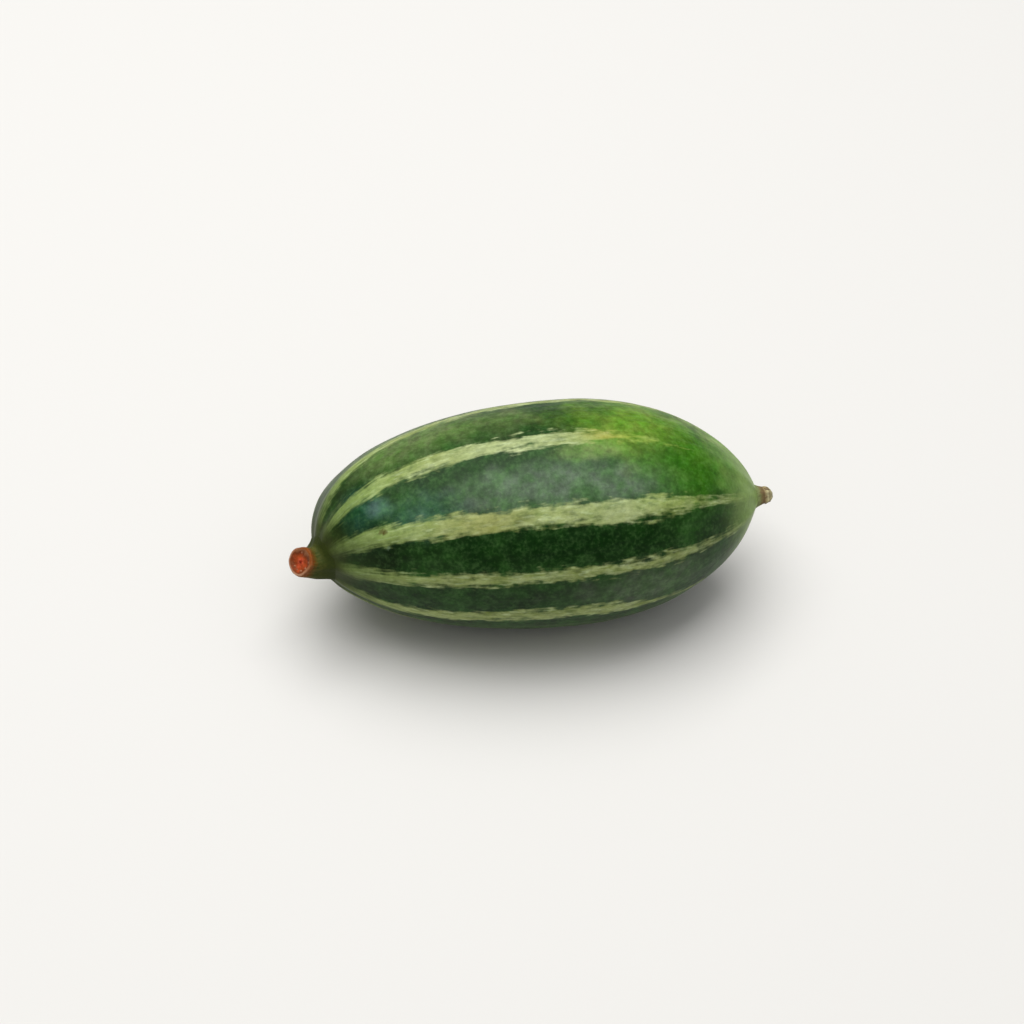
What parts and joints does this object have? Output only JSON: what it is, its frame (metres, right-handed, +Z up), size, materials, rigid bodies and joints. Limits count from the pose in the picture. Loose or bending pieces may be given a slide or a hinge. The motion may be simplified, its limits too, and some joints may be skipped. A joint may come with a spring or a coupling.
{
  "type": "pointed gourd",
  "caption": "Whole pointed gourd lying on its side: plump spindle-shaped green fruit with pale lengthwise stripes, a cut stem stub and a small dried flower tip.",
  "frame": {"origin": "middle of the small flat spot under the fruit's widest station, where it rests on a surface", "axes": "+X runs along the fruit from the stem end to the flower end, +Z is up, and -Y is the side that the stem leans to"},
  "size_m": [0.0833, 0.038, 0.0377],
  "materials": {
    "gourd_skin": "smooth waxy satin skin, dark green with pale yellow-green lengthwise stripes",
    "cut_stalk": "dull brown-orange plant stalk with a wet orange-red core on its cut face",
    "dried_flower": "dry, papery brown and tan"
  },
  "bodies": {
    "root": {"fruit": "gourd_skin", "cut_stem": "cut_stalk", "dried_flower_tip": "dried_flower"}
  },
  "joints": []
}
